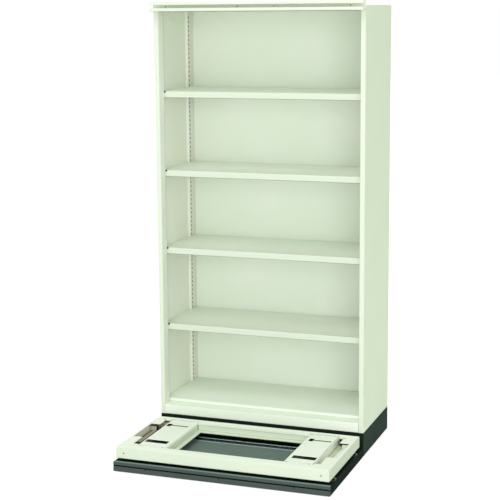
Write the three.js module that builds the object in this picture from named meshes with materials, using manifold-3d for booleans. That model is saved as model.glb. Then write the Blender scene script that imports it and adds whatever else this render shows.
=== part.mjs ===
// One column of compact mobile shelving, in millimetres, +Z up, front towards -Y.
// A steel bookcase stands on the high rear of a dark base. A low track deck in front of it carries
// two rails, and on them rolls a carriage for a second row of cabinets. The carriage slides along X.
// The origin is the middle of the base's footprint, on the floor.
import * as THREE from "three";
import { mergeVertices } from "three/addons/utils/BufferGeometryUtils.js";
import Module from "manifold-3d";

const wasm = await Module();
wasm.setup();

// Overall sizes
const column_width = 880;
const cabinet_depth = 400;
const cabinet_height = 1688;
const track_depth = 470;
const base_height = 100;
const deck_height = 40;

// Clearances and workshop values shared by every piece
const seat_gap = 0.3;
const cut_overrun = 2;
const fold_lap = 4;
const mirror_axis = new THREE.Vector3(-1, 1, 1);

// Base of folded dark sheet
const base_sheet = 1.6;
const base_return = 22;
const base_corner = 3;
const skirt_clearance = 3;
const gusset_size = 64;
const gusset_height = 22;

// Fascia strip along the front of the base
const fascia_thickness = 5;
const fascia_rise = 2;
const fascia_lap = 6;
const fascia_bead = 9;
const skirt_height = 21;
const groove_height = 4;
const groove_depth = 3.4;

// Levelling feet
const foot_inset = 44;
const foot_radius = 18;
const foot_edge = 2;
const foot_height = 8;
const foot_bolt_radius = 5;
const foot_nut_radius = 9;
const foot_nut_height = 5;
const foot_bolt_rise = 6;

// Rails on the deck
const rail_height = 8;
const rail_head_width = 12;
const rail_foot_width = 36;
const rail_foot_height = 2;
const rail_chamfer = 1;
const rail_end_inset = 1;

// Cabinet shell
const panel_sheet = 1;
const panel_bend = 1.2;
const stile_width = 20;
const stile_depth = 48;
const rear_return = 14;
const top_rail_height = 20;
const top_rail_return = 15;
const back_setback = 9.6;
const back_edge = 8;

// Bottom rail, its ledge and the deck that lies on it
const bottom_rail_height = 40;
const bottom_rail_return = 15;
const ledge_depth = 62;
const ledge_fold = 10;
const deck_shelf_height = 54;

// Shelves
const shelf_count = 4;
const slot_pitch = 19.05;
const slots_per_shelf = 17;
const shelf_sheet = 1;
const shelf_bend = 2.6;
const shelf_lip = 27;
const shelf_return = 7;
const shelf_side_lip = 18;
const shelf_side_return = 8;
const shelf_front_setback = 50;
const shelf_rear_gap = 3;
const shelf_side_clearance = 1;

// Slotted uprights
const upright_sheet = 1.2;
const upright_bend = 0.8;
const upright_proud = 11;
const front_upright_depth = 26;
const rear_upright_depth = 65;
const slot_width = 8;
const slot_height = 10;
const front_slot_inset = 13;
const rear_slot_inset = 15;

// Shelf clips
const clip_sheet = 1.6;
const clip_bend = 0.4;
const clip_width = 7;
const clip_reach = 12;
const clip_tongue = 6;

// Guide rail across the top of the cabinet
const guide_height = 37;
const guide_drop = 18;
const guide_reach = 38;
const guide_sheet = 2;
const guide_bend = 1.5;
const guide_upper_lip = 11;
const guide_lower_lip = 13;

// Carriage frame
const carriage_end_gap = 6;
const carriage_setback = 14;
const carriage_rear_gap = 36;
const carriage_height = 48;
const carriage_clearance = 3;
const carriage_sheet = 2.3;
const carriage_bend = 2.4;
const beam_flange = 45;
const beam_foot = 40;
const beam_lip = 14;
const side_foot = 60;
const corner_hole_radius = 3;
const corner_hole_inset = 33;
const corner_hole_height = 23;

// Troughs between the side beams and the wheel plates, each with a long notch in its outer edge
const trough_width = 23;
const trough_depth = 31;
const trough_margin = 51;
const trough_front_gap = 10;
const trough_end_setback = 5;
const trough_end_gap = 7;
const notch_length = 177;
const notch_depth = 38;
const notch_offset = 18;
const notch_end_gap = 9;
const notch_end_drop = 8;
const lug_slot_width = 8;
const lug_slot_length = 7;

// Ledge frame round the carriage's middle opening
const ledge_frame_drop = 9;
const ledge_frame_height = 23;
const ledge_frame_lip = 22;

// Wheel plates, and the slot and the slit in each
const wheel_plate_width = 119;
const wheel_plate_fold = 20;
const wheel_plate_lap = 18;
const wheel_plate_rear_gap = 6;
const slot_length = 90;
const plate_slot_width = 26;
const slit_width = 9;
const slit_eye_length = 14;
const slot_margin = 11;
const slot_end_inset = 104;

// Wheels, axles and their brackets
const wheel_end_inset = 63;
const tread_radius = 20;
const flange_radius = 23;
const tread_width = 13;
const flange_width = 2.5;
const flange_slope = 1;
const rim_depth = 4;
const web_width = 8;
const hub_radius = 10;
const hub_width = 21.4;
const axle_radius = 5;
const axle_head_radius = 8;
const axle_head_height = 3;
const axle_nut_height = 5;
const bracket_sheet = 2.3;
const bracket_bend = 1.2;
const bracket_bottom = 56;

// Steps of round shapes
const bend_steps = 2;
const bead_steps = 4;
const small_steps = 1;
const bolt_sides = 8;
const wheel_sides = 16;

// Places worked out from the sizes above
const half_width = column_width / 2;
const column_depth = cabinet_depth + track_depth;
const front_y = -column_depth / 2;
const cabinet_front = front_y + track_depth;
const cabinet_rear = cabinet_front + cabinet_depth;
const cabinet_foot = base_height + seat_gap;
const cabinet_top = base_height + cabinet_height;
const shell_top = cabinet_top - panel_sheet - seat_gap;
const skin_inside = half_width - panel_sheet;
const upright_face = skin_inside - upright_proud;
const back_front = cabinet_rear - back_setback;
const front_upright_y = cabinet_front + stile_depth + seat_gap;
const rear_upright_y = back_front - seat_gap - rear_upright_depth;
const front_slot_y = front_upright_y + front_slot_inset;
const rear_slot_y = rear_upright_y + rear_slot_inset;
const deck_shelf_top = base_height + deck_shelf_height;
const shelf_pitch = slot_pitch * slots_per_shelf;
const rail_top = deck_height + rail_height;
const carriage_bottom = rail_top + carriage_clearance;
const carriage_top = carriage_bottom + carriage_height;
const carriage_length = column_width - 2 * carriage_end_gap;
const carriage_depth = track_depth - carriage_setback - carriage_rear_gap;
const carriage_front = front_y + carriage_setback;
const carriage_rear = carriage_front + carriage_depth;
const carriage_middle = (carriage_front + carriage_rear) / 2;
const half_carriage = carriage_length / 2;
const plate_outer = half_carriage - trough_margin - trough_width;
const plate_inner = plate_outer - wheel_plate_width;
const plate_front = -carriage_depth / 2 + beam_flange + seat_gap;
const plate_rear = carriage_depth / 2 - beam_flange + wheel_plate_lap - wheel_plate_rear_gap;
const trough_floor = carriage_top - trough_depth;
const side_flange = trough_margin + trough_width - seat_gap;
const wheel_gauge = carriage_depth - 2 * wheel_end_inset;
const wheel_x = (plate_inner + plate_outer) / 2;
const wheel_rows = { front: carriage_middle - wheel_gauge / 2, rear: carriage_middle + wheel_gauge / 2 };
const axle_z = rail_top + tread_radius;
const bracket_half_width = hub_width / 2 + seat_gap + bracket_sheet;
const sides = { left: -1, right: 1 };

// Finishes
function paint(color, roughness, metalness) {
  return new THREE.MeshStandardMaterial({ color, roughness, metalness });
}
const ivory = paint(0xe2ead2, 0.45, 0);
const slate = paint(0x46544c, 0.5, 0);
const bright_steel = paint(0xa9aeab, 0.3, 1);
const zinc = paint(0xb9bdb8, 0.4, 1);
const dark_iron = paint(0x2c2f2e, 0.55, 1);
const rubber = paint(0x1d1f1e, 0.85, 0);

const model = new THREE.Group();

function place(name, geometry, material, holder = model) {
  const piece = new THREE.Mesh(geometry, material);
  piece.name = name;
  holder.add(piece);
  return piece;
}

// Joins and cuts

function toSolid(geometry) {
  const bare = new THREE.BufferGeometry();
  bare.setAttribute("position", geometry.getAttribute("position"));
  bare.setIndex(geometry.index);
  const merged = mergeVertices(bare);
  return new wasm.Manifold(
    new wasm.Mesh({
      numProp: 3,
      vertProperties: new Float32Array(merged.attributes.position.array),
      triVerts: new Uint32Array(merged.index.array),
    }),
  );
}

function toGeometry(solid) {
  const mesh = solid.getMesh();
  const geometry = new THREE.BufferGeometry();
  geometry.setAttribute("position", new THREE.BufferAttribute(mesh.vertProperties, mesh.numProp));
  geometry.setIndex(new THREE.BufferAttribute(mesh.triVerts, 1));
  geometry.computeVertexNormals();
  return geometry;
}

function joined(geometries) {
  return toGeometry(geometries.map(toSolid).reduce((sum, next) => sum.add(next)));
}

function cutBy(geometry, tools) {
  return toGeometry(tools.map(toSolid).reduce((rest, tool) => rest.subtract(tool), toSolid(geometry)));
}

function mirrored(geometry) {
  const copy = geometry.index ? geometry.toNonIndexed() : geometry.clone();
  copy.scale(...mirror_axis.toArray());
  const corners = copy.getAttribute("position");
  const held = new THREE.Vector3();
  const moved = new THREE.Vector3();
  for (let first = 0; first < corners.count; first += 3) {
    held.fromBufferAttribute(corners, first + 1);
    moved.fromBufferAttribute(corners, first + 2);
    corners.setXYZ(first + 1, moved.x, moved.y, moved.z);
    corners.setXYZ(first + 2, held.x, held.y, held.z);
  }
  return copy;
}

// Outlines

// The closed outline of a sheet folded along a path. The sheet's thickness lies on the left of the
// path, and every fold has the same inside radius.
function foldedSheet(path, thickness, bend, steps = bend_steps) {
  const points = path.map(([x, y]) => new THREE.Vector2(x, y));
  const outer = [];
  const inner = [];
  const straight = (from, to) => to.clone().sub(from).normalize();
  const leftOf = (way) => new THREE.Vector2(-way.y, way.x);
  points.forEach((point, index) => {
    const into = index > 0 ? straight(points[index - 1], point) : null;
    const away = index < points.length - 1 ? straight(point, points[index + 1]) : null;
    if (!into || !away) {
      const left = leftOf(into || away);
      outer.push(point.clone());
      inner.push(point.clone().addScaledVector(left, thickness));
      return;
    }
    const turn = Math.sign(into.cross(away));
    const radius = turn > 0 ? bend + thickness : bend;
    const angle = Math.acos(THREE.MathUtils.clamp(into.dot(away), -1, 1));
    const tangent = radius * Math.tan(angle / 2);
    const centre = point
      .clone()
      .addScaledVector(into, -tangent)
      .addScaledVector(leftOf(into), turn * radius);
    for (let step = 0; step <= steps; step += 1) {
      const spoke = leftOf(into).rotateAround(new THREE.Vector2(), (turn * angle * step) / steps);
      outer.push(centre.clone().addScaledVector(spoke, -turn * radius));
      inner.push(centre.clone().addScaledVector(spoke, -turn * radius + thickness));
    }
  });
  return outer.concat(inner.reverse());
}

function roundedRectangle(x0, x1, y0, y1, radius, steps = bend_steps) {
  const corners = [
    [x1 - radius, y0 + radius, -Math.PI / 2],
    [x1 - radius, y1 - radius, 0],
    [x0 + radius, y1 - radius, Math.PI / 2],
    [x0 + radius, y0 + radius, Math.PI],
  ];
  return corners.flatMap(([x, y, start]) =>
    Array.from({ length: steps + 1 }, (_, step) => {
      const angle = start + ((Math.PI / 2) * step) / steps;
      return new THREE.Vector2(x + radius * Math.cos(angle), y + radius * Math.sin(angle));
    }),
  );
}

// Solids from outlines

function extruded(outline, length) {
  const shape = new THREE.Shape(outline);
  return new THREE.ExtrudeGeometry(shape, { depth: length, bevelEnabled: false });
}

// An outline of (y, z) points run along X from x0 to x1
function alongX(outline, x0, x1) {
  const turn = new THREE.Matrix4().makeBasis(
    new THREE.Vector3(0, 1, 0),
    new THREE.Vector3(0, 0, 1),
    new THREE.Vector3(1, 0, 0),
  );
  return extruded(outline, x1 - x0).applyMatrix4(turn).translate(x0, 0, 0);
}

// An outline of (x, z) points run along Y from y0 to y1
function alongY(outline, y0, y1) {
  const turn = new THREE.Matrix4().makeBasis(
    new THREE.Vector3(1, 0, 0),
    new THREE.Vector3(0, 0, 1),
    new THREE.Vector3(0, -1, 0),
  );
  return extruded(outline, y1 - y0).applyMatrix4(turn).translate(0, y1, 0);
}

// An outline of (x, y) points run along Z from z0 to z1
function alongZ(outline, z0, z1) {
  return extruded(outline, z1 - z0).translate(0, 0, z0);
}

function block(x0, x1, y0, y1, z0, z1) {
  const geometry = new THREE.BoxGeometry(x1 - x0, y1 - y0, z1 - z0);
  return geometry.translate((x0 + x1) / 2, (y0 + y1) / 2, (z0 + z1) / 2);
}

// A round piece whose profile of (radius, height) points stands up along Z
function turnedUp(profile, segments) {
  const points = profile.map(([radius, height]) => new THREE.Vector2(radius, height));
  return new THREE.LatheGeometry(points, segments).rotateX(Math.PI / 2);
}

// A round piece whose profile of (radius, reach) points lies along Y
function turnedAcross(profile, segments) {
  const points = profile.map(([radius, reach]) => new THREE.Vector2(radius, reach));
  return new THREE.LatheGeometry(points, segments);
}

// Base

// A box of folded sheet, open below, with a return round its foot and a gusset for a foot bolt in
// each corner that lies on the given side.
function baseTray(y0, y1, top, gusset_y) {
  const foot = skirt_clearance;
  const shell = roundedRectangle(-half_width, half_width, y0, y1, base_corner);
  const hollow = roundedRectangle(
    -half_width + base_sheet,
    half_width - base_sheet,
    y0 + base_sheet,
    y1 - base_sheet,
    base_corner - base_sheet,
  );
  const mouth = block(
    -half_width + base_return,
    half_width - base_return,
    y0 + base_return,
    y1 - base_return,
    foot - cut_overrun,
    foot + base_sheet + cut_overrun,
  );
  const tray = cutBy(alongZ(shell, foot, top), [
    alongZ(hollow, foot + base_sheet, top - base_sheet),
    mouth,
  ]);
  const inset = base_sheet / 2;
  const reach = gusset_y < carriage_middle ? gusset_size : -gusset_size;
  const wall = gusset_y < carriage_middle ? y0 + inset : y1 - inset;
  const gussets = Object.values(sides).map((side) => {
    const edge = side * (half_width - inset);
    const plate = block(
      Math.min(edge, edge - side * gusset_size),
      Math.max(edge, edge - side * gusset_size),
      Math.min(wall, wall + reach),
      Math.max(wall, wall + reach),
      gusset_height,
      gusset_height + base_sheet,
    );
    return cutBy(plate, [footHole(side * (half_width - foot_inset), gusset_y)]);
  });
  return joined([tray, ...gussets]);
}

function footHole(x, y) {
  const hole = turnedUp(
    [
      [0, gusset_height - cut_overrun],
      [foot_bolt_radius + seat_gap, gusset_height - cut_overrun],
      [foot_bolt_radius + seat_gap, gusset_height + base_sheet + cut_overrun],
      [0, gusset_height + base_sheet + cut_overrun],
    ],
    bolt_sides,
  );
  return hole.translate(x, y, 0);
}

function levellingFoot() {
  const under = gusset_height - seat_gap;
  const over = gusset_height + base_sheet + seat_gap;
  return turnedUp(
    [
      [0, 0],
      [foot_radius, 0],
      [foot_radius, foot_height - foot_edge],
      [foot_radius - foot_edge, foot_height],
      [foot_bolt_radius, foot_height],
      [foot_bolt_radius, under - foot_nut_height],
      [foot_nut_radius, under - foot_nut_height],
      [foot_nut_radius, under],
      [foot_bolt_radius, under],
      [foot_bolt_radius, over],
      [foot_nut_radius, over],
      [foot_nut_radius, over + foot_nut_height],
      [foot_bolt_radius, over + foot_nut_height],
      [foot_bolt_radius, over + foot_nut_height + foot_bolt_rise],
      [0, over + foot_nut_height + foot_bolt_rise],
    ],
    bolt_sides,
  );
}

// The fascia's section: a skirt, a groove for its screws, a strip and a bead that laps the deck.
function fasciaOutline() {
  const back = front_y + fascia_thickness;
  const foot = skirt_clearance;
  const groove = foot + skirt_height;
  const top = deck_height + seat_gap + fascia_rise;
  const bead = Array.from({ length: bead_steps + 1 }, (_, step) => {
    const angle = Math.PI / 2 + ((Math.PI / 2) * step) / bead_steps;
    return [
      front_y + fascia_bead + fascia_bead * Math.cos(angle),
      top - fascia_bead + fascia_bead * Math.sin(angle),
    ];
  });
  const points = [
    [front_y, foot],
    [back, foot],
    [back, deck_height + seat_gap],
    [back + fascia_lap, deck_height + seat_gap],
    [back + fascia_lap, top],
    ...bead,
    [front_y, groove + groove_height],
    [front_y + groove_depth, groove + groove_height],
    [front_y + groove_depth, groove],
    [front_y, groove],
  ];
  return points.map(([y, z]) => new THREE.Vector2(y, z));
}

function railOutline(y) {
  const foot = deck_height + seat_gap;
  const half_foot = rail_foot_width / 2;
  const half_head = rail_head_width / 2;
  const points = [
    [y - half_foot, foot],
    [y + half_foot, foot],
    [y + half_foot, foot + rail_foot_height],
    [y + half_head, foot + rail_foot_height],
    [y + half_head, rail_top - rail_chamfer],
    [y + half_head - rail_chamfer, rail_top],
    [y - half_head + rail_chamfer, rail_top],
    [y - half_head, rail_top - rail_chamfer],
    [y - half_head, foot + rail_foot_height],
    [y - half_foot, foot + rail_foot_height],
  ];
  return points.map(([across, up]) => new THREE.Vector2(across, up));
}

function makeBase() {
  const rear_foot_y = cabinet_rear - foot_inset;
  const front_foot_y = front_y + fascia_thickness + foot_inset;
  const deck_front = front_y + fascia_thickness + seat_gap;
  place("base_plinth", baseTray(cabinet_front, cabinet_rear, base_height, rear_foot_y), slate);
  place("track_deck", baseTray(deck_front, cabinet_front - seat_gap, deck_height, front_foot_y), slate);
  place("front_fascia", alongX(fasciaOutline(), -half_width, half_width), slate);
  const rail_end = half_width - rail_end_inset;
  Object.entries(wheel_rows).forEach(([row, y]) => {
    place(`${row}_rail`, alongX(railOutline(y), -rail_end, rail_end), bright_steel);
  });
  Object.entries(sides).forEach(([side_name, side]) => {
    const x = side * (half_width - foot_inset);
    place(`levelling_foot_front_${side_name}`, levellingFoot(), rubber).position.set(x, front_foot_y, 0);
    place(`levelling_foot_rear_${side_name}`, levellingFoot(), rubber).position.set(x, rear_foot_y, 0);
  });
}

// Cabinet shell

// A side skin that folds forward into a hollow stile, seen from above, for the left side.
function sidePanelOutline() {
  return foldedSheet(
    [
      [-half_width + rear_return, cabinet_rear],
      [-half_width, cabinet_rear],
      [-half_width, cabinet_front],
      [-half_width + stile_width, cabinet_front],
      [-half_width + stile_width, cabinet_front + stile_depth],
      [-skin_inside + seat_gap, cabinet_front + stile_depth],
    ],
    panel_sheet,
    panel_bend,
  );
}

function backPanelOutline() {
  const edge = skin_inside - seat_gap;
  const fold_end = back_front + back_edge;
  return foldedSheet(
    [
      [-edge, fold_end],
      [-edge, back_front],
      [edge, back_front],
      [edge, fold_end],
    ],
    panel_sheet,
    panel_bend,
  );
}

function topPanel() {
  const inside = half_width - stile_width - seat_gap;
  const section = foldedSheet(
    [
      [cabinet_rear, cabinet_top - top_rail_height],
      [cabinet_rear, cabinet_top],
      [cabinet_front, cabinet_top],
      [cabinet_front, cabinet_top - top_rail_height],
      [cabinet_front + top_rail_return, cabinet_top - top_rail_height],
    ],
    panel_sheet,
    panel_bend,
  );
  const sheet = block(
    -half_width,
    half_width,
    cabinet_front + fold_lap,
    cabinet_rear - fold_lap,
    cabinet_top - panel_sheet,
    cabinet_top,
  );
  return joined([alongX(section, -inside, inside), sheet]);
}

function bottomRailOutline() {
  const top = base_height + bottom_rail_height;
  return foldedSheet(
    [
      [cabinet_front + ledge_depth, top - ledge_fold],
      [cabinet_front + ledge_depth, top],
      [cabinet_front, top],
      [cabinet_front, cabinet_foot],
      [cabinet_front + bottom_rail_return, cabinet_foot],
    ],
    panel_sheet,
    panel_bend,
  );
}

function guideRailOutline() {
  const foot = cabinet_top - guide_drop;
  const back = cabinet_front - seat_gap;
  const front = back - guide_reach;
  const top = foot + guide_height;
  return foldedSheet(
    [
      [front, foot + guide_lower_lip],
      [front, foot],
      [back, foot],
      [back, top],
      [front, top],
      [front, top - guide_upper_lip],
    ],
    guide_sheet,
    guide_bend,
  );
}

// Shelves, uprights and clips

// A shelf is a tray turned down: its sheet is notched at the corners for the uprights, and it has a
// rounded lip along the front and the rear and a folded flange along each side.
function shelf(top, front_lip, rear_lip, side_lip) {
  const front = cabinet_front + shelf_front_setback;
  const rear = back_front - shelf_rear_gap;
  const inner = upright_face - shelf_side_clearance;
  const section = foldedSheet(
    [
      [rear - shelf_return, top - rear_lip],
      [rear, top - rear_lip],
      [rear, top],
      [front, top],
      [front, top - front_lip],
      [front + shelf_return, top - front_lip],
    ],
    shelf_sheet,
    shelf_bend,
  );
  const flange = foldedSheet(
    [
      [inner - shelf_side_return, top - side_lip],
      [inner, top - side_lip],
      [inner, top - shelf_sheet / 2],
    ],
    shelf_sheet,
    shelf_bend,
  );
  const flange_inset = shelf_sheet + shelf_bend + seat_gap;
  const side_flange_piece = alongY(flange, front + flange_inset, rear - flange_inset);
  const wing = block(
    inner - fold_lap,
    skin_inside - shelf_side_clearance,
    front_upright_y + front_upright_depth + shelf_side_clearance,
    rear_upright_y - shelf_side_clearance,
    top - shelf_sheet,
    top,
  );
  return joined([
    alongX(section, -inner, inner),
    side_flange_piece,
    mirrored(side_flange_piece),
    wing,
    mirrored(wing),
  ]);
}

// A slotted upright for the right side: a channel that opens on to the skin, with a row of slots
// down its inward face.
function upright(y0, depth, slot_y) {
  const y1 = y0 + depth;
  const outline = foldedSheet(
    [
      [skin_inside - seat_gap, y1],
      [upright_face, y1],
      [upright_face, y0],
      [skin_inside - seat_gap, y0],
    ],
    upright_sheet,
    upright_bend,
    small_steps,
  );
  const slots = [];
  const last = cabinet_top - top_rail_height - slot_pitch / 2;
  for (let z = deck_shelf_top + slot_pitch / 2; z < last; z += slot_pitch) {
    slots.push(
      toSolid(
        block(
          upright_face - cut_overrun,
          upright_face + upright_sheet + cut_overrun,
          slot_y - slot_width / 2,
          slot_y + slot_width / 2,
          z - slot_height / 2,
          z + slot_height / 2,
        ),
      ),
    );
  }
  const channel = toSolid(alongZ(outline, cabinet_foot, shell_top));
  return toGeometry(channel.subtract(slots.reduce((sum, slot) => sum.add(slot))));
}

// A clip for the right side, with its ledge under a shelf's side flange and its tongue hooked
// through the slot below.
function shelfClip(shelf_top) {
  const ledge = shelf_top - shelf_side_lip - seat_gap;
  const bridge = shelf_top - slot_pitch * 1.5 + clip_sheet / 2;
  const hook = upright_face + upright_sheet + seat_gap + clip_sheet;
  const outline = foldedSheet(
    [
      [hook, bridge - clip_tongue],
      [hook, bridge],
      [upright_face - seat_gap, bridge],
      [upright_face - seat_gap, ledge],
      [upright_face - clip_reach, ledge],
    ],
    clip_sheet,
    clip_bend,
    small_steps,
  );
  return alongY(outline, -clip_width / 2, clip_width / 2);
}

function makeCabinet() {
  const side_panel = alongZ(sidePanelOutline(), cabinet_foot, shell_top);
  place("side_panel_left", side_panel, ivory);
  place("side_panel_right", mirrored(side_panel), ivory);
  place("back_panel", alongZ(backPanelOutline(), cabinet_foot, shell_top), ivory);
  place("top_panel", topPanel(), ivory);
  const rail_end = half_width - stile_width - seat_gap;
  place("bottom_front_rail", alongX(bottomRailOutline(), -rail_end, rail_end), ivory);
  place("top_guide_rail", alongX(guideRailOutline(), -half_width, half_width), ivory);

  const ledge_top = base_height + bottom_rail_height + seat_gap;
  const deck_lip = deck_shelf_top - cabinet_foot;
  place("bottom_shelf", shelf(deck_shelf_top, deck_shelf_top - ledge_top, deck_lip, deck_lip), ivory);

  const front_upright = upright(front_upright_y, front_upright_depth, front_slot_y);
  const rear_upright = upright(rear_upright_y, rear_upright_depth, rear_slot_y);
  place("front_upright_right", front_upright, ivory);
  place("front_upright_left", mirrored(front_upright), ivory);
  place("rear_upright_right", rear_upright, ivory);
  place("rear_upright_left", mirrored(rear_upright), ivory);

  const clip_places = { front: front_slot_y, rear: rear_slot_y };
  for (let number = 1; number <= shelf_count; number += 1) {
    const top = deck_shelf_top + shelf_pitch * number;
    place(`shelf_${number}`, shelf(top, shelf_lip, shelf_lip, shelf_side_lip), ivory);
    Object.entries(clip_places).forEach(([row, y]) => {
      place(`shelf_clip_${number}_${row}_right`, shelfClip(top), zinc).position.y = y;
      place(`shelf_clip_${number}_${row}_left`, mirrored(shelfClip(top)), zinc).position.y = y;
    });
  }
}

// Carriage

// The front beam's section. The rear beam is the same beam turned round.
function beamOutline() {
  const front = -carriage_depth / 2;
  return foldedSheet(
    [
      [front + beam_flange, carriage_top - beam_lip],
      [front + beam_flange, carriage_top],
      [front, carriage_top],
      [front, carriage_bottom],
      [front + beam_foot, carriage_bottom],
    ],
    carriage_sheet,
    carriage_bend,
  );
}

// Cuts both ends of a front beam to the mitre that runs from the carriage's corner to the corner
// where the flanges of the two beams meet.
function mitredBeam() {
  const beam = alongX(beamOutline(), -half_carriage, half_carriage);
  const corners = beam.getAttribute("position");
  const front = -carriage_depth / 2;
  for (let index = 0; index < corners.count; index += 1) {
    const inset = ((corners.getY(index) - front) / beam_flange) * side_flange;
    corners.setX(index, Math.sign(corners.getX(index)) * (half_carriage - inset - seat_gap));
  }
  return beam;
}

// A round hole near each end of the front beam's face
function frontBeam() {
  const face = -carriage_depth / 2;
  const hole = turnedAcross(
    [
      [0, face - cut_overrun],
      [corner_hole_radius, face - cut_overrun],
      [corner_hole_radius, face + carriage_sheet + cut_overrun],
      [0, face + carriage_sheet + cut_overrun],
    ],
    bolt_sides,
  );
  const corner_hole_x = half_carriage - corner_hole_inset;
  const holes = Object.values(sides).map((side) =>
    hole.clone().translate(side * corner_hole_x, 0, carriage_bottom + corner_hole_height),
  );
  return cutBy(mitredBeam(), holes);
}

// The rear beam's flange is cut back for the rear ends of the wheel plates.
function rearBeam() {
  const front = -carriage_depth / 2;
  const cuts = Object.values(sides).map((side) =>
    block(
      Math.min(side * (plate_inner - seat_gap), side * (plate_outer + seat_gap)),
      Math.max(side * (plate_inner - seat_gap), side * (plate_outer + seat_gap)),
      front + beam_flange - wheel_plate_lap,
      front + beam_flange + cut_overrun,
      carriage_top - beam_lip - cut_overrun,
      carriage_top + cut_overrun,
    ),
  );
  return cutBy(mitredBeam(), cuts);
}

// A side beam for the right side. Its flange is cut out for the trough and its notch, and a closing
// plate stands at the rear end of each.
function sideBeam() {
  const half_depth = carriage_depth / 2;
  const outline = foldedSheet(
    [
      [half_carriage - side_foot, carriage_bottom],
      [half_carriage, carriage_bottom],
      [half_carriage, carriage_top],
      [half_carriage - side_flange, carriage_top],
    ],
    carriage_sheet,
    carriage_bend,
  );
  const beam = alongY(outline, -half_depth, half_depth);
  const corners = beam.getAttribute("position");
  for (let index = 0; index < corners.count; index += 1) {
    const inset = ((half_carriage - corners.getX(index)) / side_flange) * beam_flange;
    corners.setY(index, Math.sign(corners.getY(index)) * (half_depth - inset - seat_gap));
  }
  const trough_outer = plate_outer + trough_width;
  const trough_rear = half_depth - beam_flange;
  const notch_rear = notch_offset + notch_length / 2;
  const lug_rear = trough_rear + lug_slot_length;
  const openings = [
    [plate_outer - cut_overrun, trough_outer, trough_front_gap - trough_rear, trough_rear],
    [trough_outer - cut_overrun, trough_outer + notch_depth, notch_rear - notch_length, notch_rear],
    [trough_outer - cut_overrun, trough_outer + lug_slot_width, trough_rear - cut_overrun, lug_rear],
  ];
  const closers = [
    [plate_outer + trough_end_gap, trough_rear - trough_end_setback, carriage_top - carriage_sheet / 2],
    [trough_outer + notch_end_gap, notch_rear + carriage_sheet / 2, carriage_top - notch_end_drop],
  ];
  const flange_cuts = openings.map(([x0, x1, y0, y1]) =>
    block(x0, x1, y0, y1, carriage_top - carriage_sheet - cut_overrun, carriage_top + cut_overrun),
  );
  const closer_end = half_carriage - carriage_sheet / 2;
  const closing_plates = closers.map(([x, y, top]) =>
    block(x, closer_end, y, y + carriage_sheet, trough_floor + seat_gap, top),
  );
  return joined([cutBy(beam, flange_cuts), ...closing_plates]);
}

// A rectangular frame whose section of (inset, height) points runs round all four sides
function frameRing(section, half_x, half_y) {
  const corner_signs = [
    [-1, -1],
    [1, -1],
    [1, 1],
    [-1, 1],
  ];
  const positions = [];
  const index = [];
  section.forEach(([inset, height]) => {
    corner_signs.forEach(([x, y]) => positions.push(x * (half_x - inset), y * (half_y - inset), height));
  });
  const corner_count = corner_signs.length;
  section.forEach((_, row) => {
    const next = (row + 1) % section.length;
    corner_signs.forEach((_corner, corner) => {
      const beside = (corner + 1) % corner_count;
      const a = row * corner_count + corner;
      const b = row * corner_count + beside;
      const c = next * corner_count + beside;
      const d = next * corner_count + corner;
      index.push(a, b, c, a, c, d);
    });
  });
  const ring = new THREE.BufferGeometry();
  ring.setAttribute("position", new THREE.Float32BufferAttribute(positions, 3));
  ring.setIndex(index);
  return ring;
}

function ledgeFrame() {
  const top = carriage_top - ledge_frame_drop;
  const foot = top - ledge_frame_height;
  const section = [
    [0, foot],
    [0, top],
    [carriage_sheet, top],
    [carriage_sheet, foot + carriage_sheet],
    [ledge_frame_lip, foot + carriage_sheet],
    [ledge_frame_lip, foot],
  ];
  const half_x = plate_inner - seat_gap;
  const half_y = carriage_depth / 2 - beam_flange - seat_gap;
  return frameRing(section, half_x, half_y);
}

// A wheel plate folds down on both sides. Its outer side folds out again into the trough's floor.
// Its front half has an open slot and its rear half a slit with a square eye at the left end.
function wheelPlate(side) {
  const outline = foldedSheet(
    [
      [half_carriage - carriage_sheet - seat_gap, trough_floor],
      [plate_outer, trough_floor],
      [plate_outer, carriage_top],
      [plate_inner, carriage_top],
      [plate_inner, carriage_top - wheel_plate_fold],
    ],
    carriage_sheet,
    carriage_bend,
  );
  const plate = alongY(outline, plate_front, plate_rear);
  const slot_middle = side * (plate_outer - slot_margin - slot_length / 2);
  const left = slot_middle - slot_length / 2;
  const slot_y = carriage_depth / 2 - slot_end_inset;
  return cutBy(side === sides.left ? mirrored(plate) : plate, [
    plateSlot(left, left + slot_length, -slot_y, plate_slot_width),
    plateSlot(left, left + slot_length, slot_y, slit_width),
    plateSlot(left, left + slit_eye_length, slot_y, plate_slot_width),
  ]);
}

function plateSlot(x0, x1, y, width) {
  return block(
    x0,
    x1,
    y - width / 2,
    y + width / 2,
    carriage_top - carriage_sheet - cut_overrun,
    carriage_top + cut_overrun,
  );
}

// A wheel bracket, centred on its wheel: two cheeks that hang from a web under the wheel plate.
function wheelBracket() {
  const web_top = carriage_top - carriage_sheet - seat_gap;
  const outline = foldedSheet(
    [
      [bracket_half_width, bracket_bottom],
      [bracket_half_width, web_top],
      [-bracket_half_width, web_top],
      [-bracket_half_width, bracket_bottom],
    ],
    bracket_sheet,
    bracket_bend,
  );
  const half_length = wheel_plate_width / 2 - carriage_sheet - carriage_bend - seat_gap;
  const bore_radius = axle_radius + seat_gap;
  const bore_end = bracket_half_width + cut_overrun;
  const bore = turnedAcross(
    [
      [0, -bore_end],
      [bore_radius, -bore_end],
      [bore_radius, bore_end],
      [0, bore_end],
    ],
    bolt_sides,
  );
  return cutBy(alongX(outline, -half_length, half_length), [bore.translate(0, 0, axle_z)]);
}

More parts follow.
